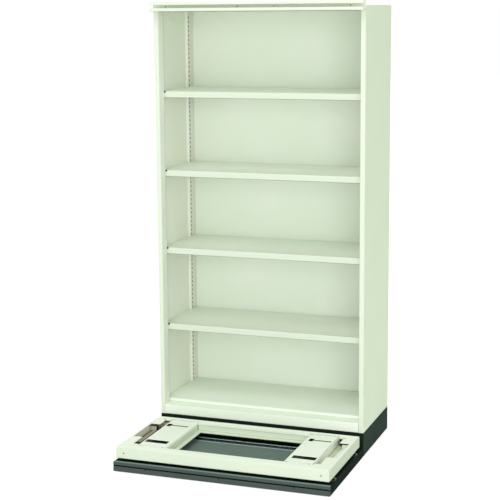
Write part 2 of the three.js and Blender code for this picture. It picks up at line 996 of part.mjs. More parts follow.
function axle() {
  const cheek = bracket_half_width + seat_gap;
  return turnedAcross(
    [
      [0, -cheek - axle_head_height],
      [axle_head_radius, -cheek - axle_head_height],
      [axle_head_radius, -cheek],
      [axle_radius, -cheek],
      [axle_radius, cheek],
      [axle_head_radius, cheek],
      [axle_head_radius, cheek + axle_nut_height],
      [0, cheek + axle_nut_height],
    ],
    bolt_sides,
  );
}

// A track wheel with its bearing pressed in. A front wheel has a flange on both sides of its tread,
// and a rear wheel is plain.
function trackWheel(row) {
  const half_hub = hub_width / 2;
  const half_web = web_width / 2;
  const half_tread = tread_width / 2;
  const half_rim = half_tread + flange_slope + flange_width;
  const rim_inside = tread_radius - rim_depth;
  const bore_radius = axle_radius + seat_gap;
  const tread = [
    [flange_radius, -half_rim],
    [flange_radius, -half_tread - flange_slope],
    [tread_radius, -half_tread],
    [tread_radius, half_tread],
    [flange_radius, half_tread + flange_slope],
    [flange_radius, half_rim],
  ];
  const plain_tread = [
    [tread_radius, -half_rim],
    [tread_radius, half_rim],
  ];
  return turnedAcross(
    [
      [bore_radius, -half_hub],
      [hub_radius, -half_hub],
      [hub_radius, -half_web],
      [rim_inside, -half_web],
      [rim_inside, -half_rim],
      ...(row === "front" ? tread : plain_tread),
      [rim_inside, half_rim],
      [rim_inside, half_web],
      [hub_radius, half_web],
      [hub_radius, half_hub],
      [bore_radius, half_hub],
      [bore_radius, -half_hub],
    ],
    wheel_sides,
  );
}

function makeCarriage() {
  const carriage = new THREE.Group();
  carriage.position.y = carriage_middle;
  model.add(carriage);
  place("carriage_front_beam", frontBeam(), ivory, carriage);
  place("carriage_rear_beam", rearBeam(), ivory, carriage).rotation.z = Math.PI;
  const side_beam = sideBeam();
  place("carriage_side_beam_right", side_beam, ivory, carriage);
  place("carriage_side_beam_left", mirrored(side_beam), ivory, carriage);
  place("carriage_ledge_frame", ledgeFrame(), ivory, carriage);
  Object.entries(sides).forEach(([side_name, side]) => {
    place(`wheel_plate_${side_name}`, wheelPlate(side), ivory, carriage);
    Object.entries(wheel_rows).forEach(([row, row_y]) => {
      const x = side * wheel_x;
      const y = row_y - carriage_middle;
      const end = `${row}_${side_name}`;
      place(`wheel_bracket_${end}`, wheelBracket(), dark_iron, carriage).position.set(x, y, 0);
      place(`axle_${end}`, axle(), bright_steel, carriage).position.set(x, y, axle_z);
      place(`wheel_${end}`, trackWheel(row), dark_iron, carriage).position.set(x, y, axle_z);
    });
  });
}

makeBase();
makeCabinet();
makeCarriage();

export default model;
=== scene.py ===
# %% [markdown]
# # A column of compact mobile shelving
#
# The object is a steel bookcase on a dark base. A low track deck in front of the bookcase has two
# rails, and a pale carriage rolls on them from side to side. The shapes come from the CAD model,
# which this notebook loads as its frame. What is left for Blender is the look: powder-coated steel,
# drawn rails, turned wheels and the small screws that hold it all together.

import math

import bmesh
import bpy
from mathutils import Matrix, Vector


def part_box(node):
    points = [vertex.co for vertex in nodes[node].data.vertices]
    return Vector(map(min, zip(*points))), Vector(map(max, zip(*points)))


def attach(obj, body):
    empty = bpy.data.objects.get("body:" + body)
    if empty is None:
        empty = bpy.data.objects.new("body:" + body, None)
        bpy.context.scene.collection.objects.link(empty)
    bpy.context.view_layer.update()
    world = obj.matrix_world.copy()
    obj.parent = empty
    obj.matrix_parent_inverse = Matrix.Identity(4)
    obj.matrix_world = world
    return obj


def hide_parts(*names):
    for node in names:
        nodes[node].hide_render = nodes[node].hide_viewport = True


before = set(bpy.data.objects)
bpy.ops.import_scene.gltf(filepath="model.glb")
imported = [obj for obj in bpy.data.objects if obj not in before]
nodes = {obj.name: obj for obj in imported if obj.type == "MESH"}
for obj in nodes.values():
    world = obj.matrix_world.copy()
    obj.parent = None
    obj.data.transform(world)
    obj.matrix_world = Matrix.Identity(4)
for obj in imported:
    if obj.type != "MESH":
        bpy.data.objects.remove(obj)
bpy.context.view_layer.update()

# %% [markdown]
# The camera stands in front of the column, a little to its right and just under its top. A camera
# can be aimed by eye, but here its place and lens were fitted to corners that can be measured in
# the photograph, so that every edge lands close to where it should. The real uprights stand nearly
# parallel in the picture, so the lens is shifted down a little, which keeps them straighter.

# %% Camera
PICTURE_SIDE = 500
SENSOR_WIDTH = 36.0
CAMERA_PLACE = Vector((1.7645, -4.9422, 1.7745))
YAW, PITCH, ROLL = -0.3469, 0.1650, -0.0078
FOCAL_PIXELS = 1334.9
OPTICAL_CENTRE_ROW = 232.0


def look(place, yaw, pitch, roll):
    """A camera at place, turned right by yaw from +Y, then down by pitch and round by roll."""
    level = math.cos(pitch)
    forward = Vector((math.sin(yaw) * level, math.cos(yaw) * level, -math.sin(pitch)))
    right = Vector((math.cos(yaw), -math.sin(yaw), 0.0))
    up = right.cross(forward)
    turned_right = math.cos(roll) * right + math.sin(roll) * up
    turned_up = -math.sin(roll) * right + math.cos(roll) * up
    turn = Matrix((turned_right, turned_up, -forward)).transposed().to_4x4()
    camera = bpy.data.objects.new("studio_camera", bpy.data.cameras.new("studio_camera"))
    camera.matrix_world = Matrix.Translation(place) @ turn
    bpy.context.scene.collection.objects.link(camera)
    bpy.context.scene.camera = camera
    return camera


camera = look(CAMERA_PLACE, YAW, PITCH, ROLL)
camera.data.sensor_width = SENSOR_WIDTH
camera.data.lens = FOCAL_PIXELS / PICTURE_SIDE * SENSOR_WIDTH
camera.data.shift_y = (OPTICAL_CENTRE_ROW - PICTURE_SIDE / 2) / PICTURE_SIDE
print("lens", round(camera.data.lens, 1), "mm, shift", round(camera.data.shift_y, 3))

# %% [markdown]
# A material in Blender is a small tree of nodes. Trees can be drawn by hand in the editor, but many
# finishes here share the same steps, so short functions that add one node each keep them alike.
# These first two start a material and add a node with its sockets and settings filled in.

# %% Start a material, add a node


def new_material(name):
    """A node material, its tree and its main shader."""
    material = bpy.data.materials.new(name)
    material.use_nodes = True
    return material, material.node_tree, material.node_tree.nodes["Principled BSDF"]


def add_node(tree, kind, **values):
    """A shader node whose sockets or settings take the given values."""
    node = tree.nodes.new(kind)
    for key, value in values.items():
        if key in node.inputs:
            node.inputs[key].default_value = value
        else:
            setattr(node, key, value)
    return node


print("helpers ready")

# %% [markdown]
# Pale furniture is photographed in even light before a white background. Many lamps could give
# that light, but the world gives most of it evenly and at no cost. It is white only to the camera,
# to mirrors and to glass, and weaker to all else, because more of it would wash the paint out.

# %% World
WORLD_LEVEL = 0.65


def plain_white_rays(tree):
    """1 for rays from the camera, a mirror or glass, and 0 for rays that carry light."""
    path = add_node(tree, "ShaderNodeLightPath")
    mirror = add_node(tree, "ShaderNodeMath", operation="MAXIMUM")
    every = add_node(tree, "ShaderNodeMath", operation="MAXIMUM")
    tree.links.new(path.outputs["Is Glossy Ray"], mirror.inputs[0])
    tree.links.new(path.outputs["Is Transmission Ray"], mirror.inputs[1])
    tree.links.new(path.outputs["Is Camera Ray"], every.inputs[0])
    tree.links.new(mirror.outputs[0], every.inputs[1])
    return every.outputs[0]


world = bpy.data.worlds.new("studio_world")
world.use_nodes = True
bpy.context.scene.world = world
sky = world.node_tree.nodes["Background"]
sky.inputs["Color"].default_value = (1.0, 1.0, 1.0, 1.0)
level = add_node(world.node_tree, "ShaderNodeMapRange")
level.inputs["To Min"].default_value = WORLD_LEVEL
level.inputs["To Max"].default_value = 1.0
world.node_tree.links.new(plain_white_rays(world.node_tree), level.inputs["Value"])
world.node_tree.links.new(level.outputs["Result"], sky.inputs["Strength"])
print("world level", WORLD_LEVEL)

# %% [markdown]
# The studio floor is one large flat sheet, just under the column's feet so that the two don't
# flicker into each other. A glow that only the camera and reflections see lifts its grey to white.
# A plain white sheet would lose the shadow under the base. This one keeps it, because the glow is
# added to the lit floor and doesn't replace it.

# %% Floor
FLOOR_HALF = 30.0
FLOOR_DROP = 0.0005
FLOOR_GREY = 0.80
FLOOR_GLOW = 0.62

floor_mesh = bpy.data.meshes.new("floor")
sheet = bmesh.new()
bmesh.ops.create_grid(sheet, x_segments=1, y_segments=1, size=FLOOR_HALF)
bmesh.ops.translate(sheet, verts=sheet.verts, vec=(0.0, 0.0, -FLOOR_DROP))
sheet.to_mesh(floor_mesh)
sheet.free()
floor = bpy.data.objects.new("floor", floor_mesh)
bpy.context.scene.collection.objects.link(floor)

floor_paint, tree, shader = new_material("floor_white")
shader.inputs["Base Color"].default_value = (FLOOR_GREY, FLOOR_GREY, FLOOR_GREY, 1.0)
shader.inputs["Roughness"].default_value = 0.9
glow = add_node(tree, "ShaderNodeEmission", Strength=FLOOR_GLOW)
lift = add_node(tree, "ShaderNodeAddShader")
choose = add_node(tree, "ShaderNodeMixShader")
tree.links.new(plain_white_rays(tree), choose.inputs["Fac"])
tree.links.new(shader.outputs["BSDF"], lift.inputs[0])
tree.links.new(glow.outputs["Emission"], lift.inputs[1])
tree.links.new(shader.outputs["BSDF"], choose.inputs[1])
tree.links.new(lift.outputs["Shader"], choose.inputs[2])
tree.links.new(choose.outputs["Shader"], tree.nodes["Material Output"].inputs["Surface"])
floor_mesh.materials.append(floor_paint)
print("floor", 2 * FLOOR_HALF, "m wide")

# %% [markdown]
# Two large square lamps give the light a direction. Small ones would draw hard shadows under the
# shelves. The key lamp, behind the camera and a little to its right, reaches the backs between the
# shelves and the left inner wall. The top lamp makes the tops a little brighter than the sides.

# %% Lamps


def soft_lamp(name, place, target, side, watts):
    """A square lamp that faces the target."""
    data = bpy.data.lights.new(name, "AREA")
    data.size = side
    data.energy = watts
    lamp = bpy.data.objects.new(name, data)
    lamp.location = place
    lamp.rotation_mode = "QUATERNION"
    lamp.rotation_quaternion = (Vector(target) - Vector(place)).to_track_quat("-Z", "Y")
    bpy.context.scene.collection.objects.link(lamp)
    return lamp


soft_lamp("key_lamp", (2.7, -6.4, 1.75), (0.0, 0.0, 0.8), side=3.6, watts=135)
soft_lamp("top_lamp", (0.0, -4.2, 7.2), (0.0, -0.15, 0.4), side=3.9, watts=178)
print("studio lit")

# %% [markdown]
# Paint is mixed from colours. They are written here as a screen shows them, from 0 to 255, which is
# how a colour card is read, and turned into the linear values that a shader counts in. No real
# surface has one flat colour, so two shades are always blended by some pattern.

# %% Colours
MIX_FIRST, MIX_SECOND, MIX_RESULT = 6, 7, 2  # the Mix node's sockets that hold colours


def srgb(red, green, blue):
    """A colour given as 8-bit screen values, in the shader's linear ones."""
    shares = (red / 255, green / 255, blue / 255)
    return tuple(
        ((share + 0.055) / 1.055) ** 2.4 if share > 0.04 else share / 12.92 for share in shares
    )


def tinted(colour, share):
    """The colour made lighter or darker by a share."""
    return tuple(min(1.0, value * (1 + share)) for value in colour)


def blend_colours(tree, factor, first, second):
    """A colour between two, each of which is a colour or a socket."""
    node = add_node(tree, "ShaderNodeMix", data_type="RGBA")
    tree.links.new(factor, node.inputs["Factor"])
    for socket, colour in ((node.inputs[MIX_FIRST], first), (node.inputs[MIX_SECOND], second)):
        if hasattr(colour, "node"):
            tree.links.new(colour, socket)
        else:
            socket.default_value = (*colour, 1.0)
    return node.outputs[MIX_RESULT]


print("deep black is", [round(value, 4) for value in srgb(12, 14, 14)], "in linear values")

# %% [markdown]
# Noise textures make the patterns. A slow noise clouds the tint, a quicker one changes the sheen,
# and a very fine one gives the surface its skin through a bump. Image textures could do this too,
# but noise has no seams and needs no unwrapping. A bevel node rounds sharp edges for the light, so
# that folded sheet catches a thin bright line along its folds.

# %% Noise, ramp and bump


def noise(tree, where, scale, detail=2.0, roughness=0.5):
    """A noise texture that reads the given coordinates."""
    node = add_node(tree, "ShaderNodeTexNoise", Scale=scale, Detail=detail, Roughness=roughness)
    tree.links.new(where, node.inputs["Vector"])
    return node.outputs["Fac"]


def ramp(tree, value, low, high, low_at=0.35, high_at=0.65):
    """Maps a value to a number between low and high."""
    node = add_node(tree, "ShaderNodeMapRange")
    node.inputs["From Min"].default_value = low_at
    node.inputs["From Max"].default_value = high_at
    node.inputs["To Min"].default_value = low
    node.inputs["To Max"].default_value = high
    tree.links.new(value, node.inputs["Value"])
    return node.outputs["Result"]


def bump(tree, height, distance, edge_radius=None):
    """The normal of a surface with that height, on edges rounded by the given radius."""
    node = add_node(tree, "ShaderNodeBump", Distance=distance, Strength=1.0)
    tree.links.new(height, node.inputs["Height"])
    if edge_radius:
        edge = add_node(tree, "ShaderNodeBevel", samples=4, Radius=edge_radius)
        tree.links.new(edge.outputs["Normal"], node.inputs["Normal"])
    return node.outputs["Normal"]


print("patterns ready")

# %% [markdown]
# A sheet-metal part is one CAD node, but its faces don't all look alike: seams, grooves and gaps
# get painted shade, and a top gets painted light that makes it paler than a side. Each such place
# is a zone, a box with a colour of its own. A fade is for a colour that changes slowly along one
# axis. Both read Object coordinates, so they stay on the steel when the carriage moves.

# %% Zones and fades
FACE_REACH = 0.0005
SKIN = 0.001  # a zone on an outer face starts this far outside it


def zoned(tree, where, colour, zones):
    """A colour with others in zones. A zone has a colour, then limits as (axis, low, high)."""
    split = add_node(tree, "ShaderNodeSeparateXYZ")
    tree.links.new(where, split.inputs["Vector"])
    for zone_colour, *limits in zones:
        masks = []
        for axis, low, high in limits:
            inside = add_node(tree, "ShaderNodeMath", operation="COMPARE")
            tree.links.new(split.outputs[axis], inside.inputs[0])
            inside.inputs[1].default_value = (low + high) / 2
            inside.inputs[2].default_value = (high - low) / 2
            masks.append(inside.outputs[0])
        while len(masks) > 1:
            both = add_node(tree, "ShaderNodeMath", operation="MULTIPLY")
            tree.links.new(masks.pop(), both.inputs[0])
            tree.links.new(masks.pop(), both.inputs[1])
            masks.append(both.outputs[0])
        colour = blend_colours(tree, masks[0], colour, zone_colour)
    return colour


def faded(tree, where, colour, other, axis, start, end):
    """A colour that turns slowly into another one along an axis."""
    split = add_node(tree, "ShaderNodeSeparateXYZ")
    tree.links.new(where, split.inputs["Vector"])
    return blend_colours(tree, ramp(tree, split.outputs[axis], 0.0, 1.0, start, end), colour, other)


def face_at(axis, place):
    """The limits of a thin zone that holds just the flat face at that place on the axis."""
    return (axis, place - FACE_REACH, place + FACE_REACH)


print("a face zone is", 2000 * FACE_REACH, "mm thick")

# %% [markdown]
# Powder coat is a thick baked paint. From close by it has a fine orange-peel texture, its sheen
# varies slightly, and it softens every folded edge. One function makes this finish in any colour,
# and two short ones set it up for this object's two paints: the nearly matt ivory of bookcase and
# carriage, and the coarser dark slate of the base.

# %% Powder coat
PEEL_SCALE = 900.0
CLOUD_SCALE = 3.0
SHEEN_SCALE = 9.0


def powder_coat(
    name, colour, sheen, edge_radius, gloss, peel=0.00004, drift=0.02, zones=(), fade=None
):
    """Baked paint in one colour, which zones and a fade may change. Sheen is two roughnesses."""
    material, tree, shader = new_material(name)
    where = add_node(tree, "ShaderNodeTexCoord").outputs["Object"]
    cloud = ramp(tree, noise(tree, where, CLOUD_SCALE, detail=3.0), 0.0, 1.0)
    tint = blend_colours(tree, cloud, tinted(colour, -drift), tinted(colour, drift))
    if fade:
        tint = faded(tree, where, tint, *fade)
    roughness = ramp(tree, noise(tree, where, SHEEN_SCALE, detail=4.0), *sheen)
    skin = bump(tree, noise(tree, where, PEEL_SCALE, detail=1.0), peel, edge_radius)
    tree.links.new(zoned(tree, where, tint, zones), shader.inputs["Base Color"])
    tree.links.new(roughness, shader.inputs["Roughness"])
    tree.links.new(skin, shader.inputs["Normal"])
    shader.inputs["Specular IOR Level"].default_value = gloss
    return material


def ivory_paint(name, colour, zones=(), fade=None, edge_radius=0.0009):
    """The pale paint of the bookcase and the carriage."""
    return powder_coat(
        name, colour, (0.38, 0.48), edge_radius, gloss=0.12, zones=zones, fade=fade
    )


def slate_paint(name, colour, zones):
    """The dark paint of the base, whose skin is coarser and whose colour drifts more."""
    return powder_coat(
        name, colour, (0.45, 0.57), 0.0010, gloss=0.003, peel=0.00006, drift=0.05, zones=zones
    )


print("ivory and slate ready")

# %% [markdown]
# Each CAD node is an object whose mesh came with the model. Its shape stays as it is, and only its
# material is set. Pieces of one kind have names that start alike, such as the sixteen shelf clips,
# so one call finishes them all. The names are kept, to see in the end that none was forgotten.

# %% Put a finish on
finished = set()


def put_on(material, *starts):
    """Gives the material to each CAD node whose name starts with one of these words."""
    chosen = [name for name in nodes if name.startswith(starts)]
    for name in chosen:
        nodes[name].data.materials.clear()
        nodes[name].data.materials.append(material)
    finished.update(chosen)
    print(material.name, "on", len(chosen), "nodes")


print(len(nodes), "nodes to finish")

# %% [markdown]
# The four loose shelves are folded trays with a rounded lip in front. Their tops are painted a
# little darker towards the lip as painted shade. The lip is painted darker than the top, also as
# painted shade, and has a fine line behind it, a painted shadow line along its lower edge and a
# black mark of painted shade near its left end, for the gap beside the stile. Modelling lines as
# fine as these would need slivers of mesh, so they are zones in the paint, and the change on the
# top is a fade. The bottom shelf has none of them.

# %% Shelves
IVORY_PALE = srgb(246, 255, 240)
# painted shade: the shelf tops turn to this colour towards the lip
SHELF_FRONT_SHADE = srgb(220, 229, 210)
# painted shade: the lip's front is painted darker than the top
LIP_SHADE = srgb(223, 234, 214)
IVORY_INSIDE = srgb(242, 251, 236)
LIP_LINE = srgb(196, 192, 172)
# a painted shadow line, under the shelves' lips and under the top's front edge
EDGE_SHADOW = srgb(140, 140, 122)
# black painted shade, for gaps, grooves, slots and the rails' sides
SHADE_BLACK = srgb(12, 14, 14)
LIP_DEPTH = 0.008
LINE_DEPTH = 0.004
LIP_FACE = 0.006
EDGE_HEIGHT = 0.0018
CUT_START, CUT_END = 0.0160, 0.0235
FADE_MARGIN = 0.060

shelf_low, shelf_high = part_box("shelf_1")
SHELF_ZONES = [
    (LIP_LINE, ("Y", shelf_low.y + LIP_DEPTH, shelf_low.y + LIP_DEPTH + LINE_DEPTH)),
    (LIP_SHADE, ("Y", shelf_low.y - SKIN, shelf_low.y + LIP_DEPTH)),
]
for number in (1, 2, 3, 4):
    low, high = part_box(f"shelf_{number}")
    lip = ("Y", low.y - SKIN, low.y + LIP_FACE)
    left_end = ("X", low.x + CUT_START, low.x + CUT_END)
    SHELF_ZONES.append((EDGE_SHADOW, lip, ("Z", low.z, low.z + EDGE_HEIGHT)))
    # a black mark of painted shade near the lip's left end, for the gap beside the stile
    SHELF_ZONES.append((SHADE_BLACK, lip, left_end, ("Z", high.z - LIP_FACE, high.z)))
SHELF_FADE = (SHELF_FRONT_SHADE, "Y", shelf_high.y - FADE_MARGIN, shelf_low.y)
put_on(
    ivory_paint("shelf_powder_coat", IVORY_PALE, SHELF_ZONES, SHELF_FADE),
    "shelf_1",
    "shelf_2",
    "shelf_3",
    "shelf_4",
)
put_on(ivory_paint("inside_powder_coat", IVORY_INSIDE), "bottom_shelf")

# %% [markdown]
# A side panel is one sheet that folds into a hollow stile in front. The uprights stand against it
# with a row of slots for the shelf clips. The slots are real holes, but the gap behind them is too
# thin to go dark by itself, so a strip of the wall behind each row is painted black as shade. The
# sheet's faces are painted in light and shade: the outside of the panel a touch greener and darker
# than its inside, as the photograph shows it, and the stile's front face darker than the wall. Each
# upright's web is painted darker as shade, and its front flange paler as painted light.

# %% Side panels and uprights
IVORY = srgb(230, 241, 220)
# painted shade: the outer faces of the side panels and the back, greener and darker
IVORY_OUTSIDE_SHADE = srgb(230, 247, 215)
IVORY_WALL = srgb(243, 248, 234)
# painted shade: the uprights' webs
IVORY_WEB_SHADE = srgb(236, 236, 225)
# painted light: the uprights' front flanges
IVORY_FLANGE_LIGHT = srgb(252, 255, 247)
STILE_FACE = 0.003
FLANGE_SHEET = 0.0015
STRIP_DEPTH = 0.0006
STRIP_MARGIN = 0.002

panel_low, panel_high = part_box("side_panel_left")
PANEL_ZONES = [
    (IVORY_OUTSIDE_SHADE, face_at("X", panel_low.x)),
    (IVORY_OUTSIDE_SHADE, face_at("X", -panel_low.x)),
    # the stile's front face is painted darker than the wall, as shade
    (IVORY, ("Y", panel_low.y - SKIN, panel_low.y + STILE_FACE)),
    (IVORY_OUTSIDE_SHADE, ("Y", panel_high.y - SKIN, panel_high.y + SKIN)),
]
for row in ("front", "rear"):
    for side in ("left", "right"):
        low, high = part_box(f"{row}_upright_{side}")
        wall = (low.x - STRIP_DEPTH, low.x) if side == "left" else (high.x, high.x + STRIP_DEPTH)
        strip = ("Y", low.y + STRIP_MARGIN, high.y - STRIP_MARGIN)
        # a black strip of painted shade behind each row of slots
        PANEL_ZONES.append((SHADE_BLACK, ("X", *wall), strip))
put_on(ivory_paint("panel_powder_coat", IVORY_WALL, PANEL_ZONES), "side_panel")

upright_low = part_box("rear_upright_left")[0]
UPRIGHT_ZONES = [(IVORY_FLANGE_LIGHT, ("Y", upright_low.y - SKIN, upright_low.y + FLANGE_SHEET))]
put_on(
    ivory_paint("upright_powder_coat", IVORY_WEB_SHADE, UPRIGHT_ZONES, edge_radius=0.0004),
    "front_upright",
    "rear_upright",
)

# %% [markdown]
# The back, the top and the two cross rails close the bookcase. All are the same paint, but each
# gets a coat of its own, so that its tint, which holds painted light and shade, can be set against
# the photograph without changing the others. The back's outside is painted darker as shade, and the
# foot rail paler as painted light. The top's front edge has a painted shadow line below. The guide
# rail is a lipped channel, and its web is painted palest, because it lies in the shade of the
# channel's own lips.

# %% Back, top and cross rails
# painted light: the paler ivory of lit tops, also used on the foot rail and the wheel plates
IVORY_PAINTED_LIGHT = srgb(245, 255, 237)
IVORY_GUIDE = srgb(250, 255, 243)
BACK_SHEET = 0.0004
ROOF_SHEET = 0.0040
ROOF_LINE = 0.0030
WEB_SHEET = 0.0035

back_low, back_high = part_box("back_panel")
BACK_ZONES = [(IVORY_OUTSIDE_SHADE, ("Y", back_low.y + BACK_SHEET, back_high.y + SKIN))]
put_on(ivory_paint("back_powder_coat", IVORY_PALE, BACK_ZONES), "back_panel")

roof_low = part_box("top_panel")[0]
roof_front = ("Y", roof_low.y - SKIN, roof_low.y + ROOF_SHEET)
# a painted shadow line under the top's front edge
ROOF_ZONES = [(EDGE_SHADOW, roof_front, ("Z", roof_low.z - SKIN, roof_low.z + ROOF_LINE))]
put_on(ivory_paint("roof_powder_coat", IVORY, ROOF_ZONES), "top_panel")

guide_low, guide_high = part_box("top_guide_rail")
GUIDE_ZONES = [(IVORY_GUIDE, ("Y", guide_high.y - WEB_SHEET, guide_high.y + SKIN))]
put_on(ivory_paint("guide_powder_coat", IVORY, GUIDE_ZONES), "top_guide_rail")
put_on(ivory_paint("foot_rail_powder_coat", IVORY_PAINTED_LIGHT), "bottom_front_rail")

# %% [markdown]
# The base is dark folded sheet. The plinth's front and top lie in the shadow of the gaps behind the
# carriage and under the bookcase. Soft studio light would fill such gaps, so their faces are
# painted darker. The deck is painted darkest at its sides, as shade. Its floor between the rails is
# painted a lighter grey as painted light, with a painted highlight strip along the foot of the rear
# rail.

# %% Plinth and track deck
SLATE = srgb(52, 68, 60)
GAP_SHADOW = srgb(32, 40, 37)
# painted shade: the deck outside its lighter floor
DECK_SHADE = srgb(26, 38, 31)
# painted light: the deck's floor between the rails
DECK_LIGHT = srgb(111, 129, 121)
# painted highlight: the strip along the rear rail's foot
RAIL_FOOT_HIGHLIGHT = srgb(170, 188, 182)
PLINTH_FACE = 0.005
PLINTH_EDGE = 0.003
FLOOR_REACH = 0.010
FOOT_STRIP = 0.008
LIGHT_LENGTH = ("X", -0.424, 0.424)

plinth_low, plinth_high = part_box("base_plinth")
PLINTH_ZONES = [
    (GAP_SHADOW, ("Y", plinth_low.y - SKIN, plinth_low.y + PLINTH_FACE)),
    (GAP_SHADOW, ("Z", plinth_high.z - PLINTH_EDGE, plinth_high.z + SKIN)),
]
put_on(slate_paint("slate_powder_coat", SLATE, PLINTH_ZONES), "base_plinth")

front_rail_low, front_rail_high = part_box("front_rail")
rear_rail_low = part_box("rear_rail")[0]
deck_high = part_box("track_deck")[1]
DECK_FLOOR = ("Z", deck_high.z - SKIN, deck_high.z + FLOOR_REACH)
between_rails = ("Y", front_rail_high.y, rear_rail_low.y)
beside_rail = ("Y", rear_rail_low.y - FOOT_STRIP, rear_rail_low.y)
DECK_ZONES = [
    (DECK_LIGHT, DECK_FLOOR, between_rails, LIGHT_LENGTH),
    (RAIL_FOOT_HIGHLIGHT, DECK_FLOOR, beside_rail, LIGHT_LENGTH),
]
put_on(slate_paint("deck_powder_coat", DECK_SHADE, DECK_ZONES), "track_deck")

# %% [markdown]
# The fascia is the strip along the front of the deck. It has a rounded bead on top, which catches
# the light, and a groove for its screws below. The shape of both is in the CAD model, and two zones
# sharpen them: a painted highlight on the bead, and black painted shade in the groove. The strip is
# smoother than the sheet behind it, so it gets a satin finish of its own with less peel.

# %% Fascia
FASCIA_SLATE = srgb(74, 86, 81)
# painted highlight on the bead
BEAD_HIGHLIGHT = srgb(112, 136, 130)
GROOVE = ("Z", 0.0232, 0.0288)
BEAD = ("Z", 0.0400, 0.0430)

fascia_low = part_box("front_fascia")[0]
# black painted shade in the groove, a painted highlight on the bead
FASCIA_ZONES = [(SHADE_BLACK, GROOVE), (BEAD_HIGHLIGHT, BEAD)]
fascia_coat = powder_coat(
    "fascia_satin",
    FASCIA_SLATE,
    sheen=(0.30, 0.40),
    edge_radius=0.0006,
    gloss=0.1,
    peel=0.00002,
    drift=0.04,
    zones=FASCIA_ZONES,
)
put_on(fascia_coat, "front_fascia")

# %% [markdown]
# The wheel plates are troughs of pale sheet that hang between the carriage's beams. Shade is
# painted
# in them: on the right trough's floor next to its wall, darker on the left one's floor, and in dark
# lines where sheets meet and fold. Such marks could be painted by hand on an image. Zones need no
# image and put each mark where a sheet begins or ends, without a single extra face.

# %% Wheel plates
# these six colours are painted shade in the troughs, slits, seams and corners
RIGHT_TROUGH_SHADE = srgb(206, 214, 190)
TROUGH_SHADE_LINE = srgb(148, 136, 112)
LEFT_TROUGH_SHADE = srgb(176, 172, 154)
SEAM_SHADE = srgb(74, 70, 54)
CORNER_SHADE = srgb(34, 34, 28)
SLIT_SHADE = srgb(150, 150, 128)
TROUGH_START = 0.357

ledge_low, ledge_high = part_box("carriage_ledge_frame")
carriage_y = (ledge_low.y + ledge_high.y) / 2


def from_middle(low, high):
    """Limits along Y that are measured from the carriage's middle."""
    return ("Y", carriage_y + low, carriage_y + high)


TROUGH_FLOOR = ("Z", 0.0640, 0.0700)
LEFT_TROUGH = ("X", -0.4350, -TROUGH_START)
LEFT_SEAM = ("X", -0.4230, -0.4175)
LEFT_SHADE_STREAK = ("X", -0.4030, -0.3900)
LEFT_FRONT = from_middle(-0.170, -0.048)
RIGHT_SHADE_BAND = ("X", TROUGH_START, 0.3845)
RIGHT_LINE = ("X", TROUGH_START, 0.3612)
RIGHT_FOLD = ("X", TROUGH_START - 0.0015, TROUGH_START + 0.0010)
FOLD_TOP = ("Z", 0.0945, 0.0985)
FOLD_FRONT = from_middle(-0.165, -0.138)
# every mark in the troughs is painted shade
PLATE_ZONES = [
    (RIGHT_TROUGH_SHADE, TROUGH_FLOOR, RIGHT_SHADE_BAND),
    (TROUGH_SHADE_LINE, TROUGH_FLOOR, RIGHT_LINE),
    (TROUGH_SHADE_LINE, FOLD_TOP, RIGHT_FOLD),
    (TROUGH_SHADE_LINE, RIGHT_FOLD, FOLD_FRONT),
    (LEFT_TROUGH_SHADE, TROUGH_FLOOR, LEFT_TROUGH),
    (SEAM_SHADE, TROUGH_FLOOR, LEFT_SEAM),
    (SEAM_SHADE, TROUGH_FLOOR, LEFT_SHADE_STREAK),
    (CORNER_SHADE, TROUGH_FLOOR, LEFT_TROUGH, LEFT_FRONT),
]
print(len(PLATE_ZONES), "marks in the troughs")

# %% [markdown]
# Each plate has a wide slot in its front half, and in its rear half a narrow slit with a square eye
# at its left end. The openings are in the CAD model. Through the slot and the eye one looks down
# into the dark under the carriage, so their walls are painted black as shade, while those of the
# slit are painted a paler grey as shade.

# %% Slots in the wheel plates
SLOT_Y = 0.106
SLOT_HALF = 0.016
SLIT_HALF = 0.006
SLOT_LENGTH = 0.090
EYE_LENGTH = 0.016
SLOT_MARGIN = 0.002
SLOT_STARTS = (-0.349, 0.259)

front_slots = from_middle(-SLOT_Y - SLOT_HALF, -SLOT_Y + SLOT_HALF)
rear_slits = from_middle(SLOT_Y - SLIT_HALF, SLOT_Y + SLIT_HALF)
rear_eyes = from_middle(SLOT_Y - SLOT_HALF, SLOT_Y + SLOT_HALF)
for start in SLOT_STARTS:
    edge = start - SLOT_MARGIN
    slot_end = start + SLOT_LENGTH
    # the walls of the slots, slits and eyes are painted shade
    PLATE_ZONES += [
        (SHADE_BLACK, ("X", edge, slot_end + SLOT_MARGIN), front_slots),
        (SLIT_SHADE, ("X", start, slot_end), rear_slits),
        (SHADE_BLACK, ("X", edge, start + EYE_LENGTH), rear_eyes),
    ]
# the plates take the paler ivory of lit tops: painted light
put_on(ivory_paint("plate_powder_coat", IVORY_PAINTED_LIGHT, PLATE_ZONES), "wheel_plate")

# %% [markdown]
# Four folded channels make the carriage's frame, and the side ones have a long notch with a closed
# end in their top flange. The tops are painted paler than the sides as painted light, and the
# carriage's two ends duller as painted shade. The small sheets that close the notches and the
# troughs are painted in shade, the inner face of the left beam's web paler as painted light, and
# the rear beam has a painted shadow line under its lip and painted shade at its foot. Painting
# shade there gives these narrow places a depth that soft light alone wouldn't show.

# %% Carriage beams
IVORY_BEAM = srgb(226, 238, 216)
# painted shade: the carriage's two ends
IVORY_END_SHADE = srgb(213, 228, 199)
# painted light: the inner face of the left beam's web
NOTCH_WALL_LIGHT = srgb(252, 253, 240)
# painted shade: the left notch's closer
NOTCH_END_SHADE = srgb(200, 200, 180)
# painted shade: the left trough's closer
TROUGH_END_SHADE = srgb(206, 195, 174)
LEDGE_LINE = srgb(200, 208, 184)

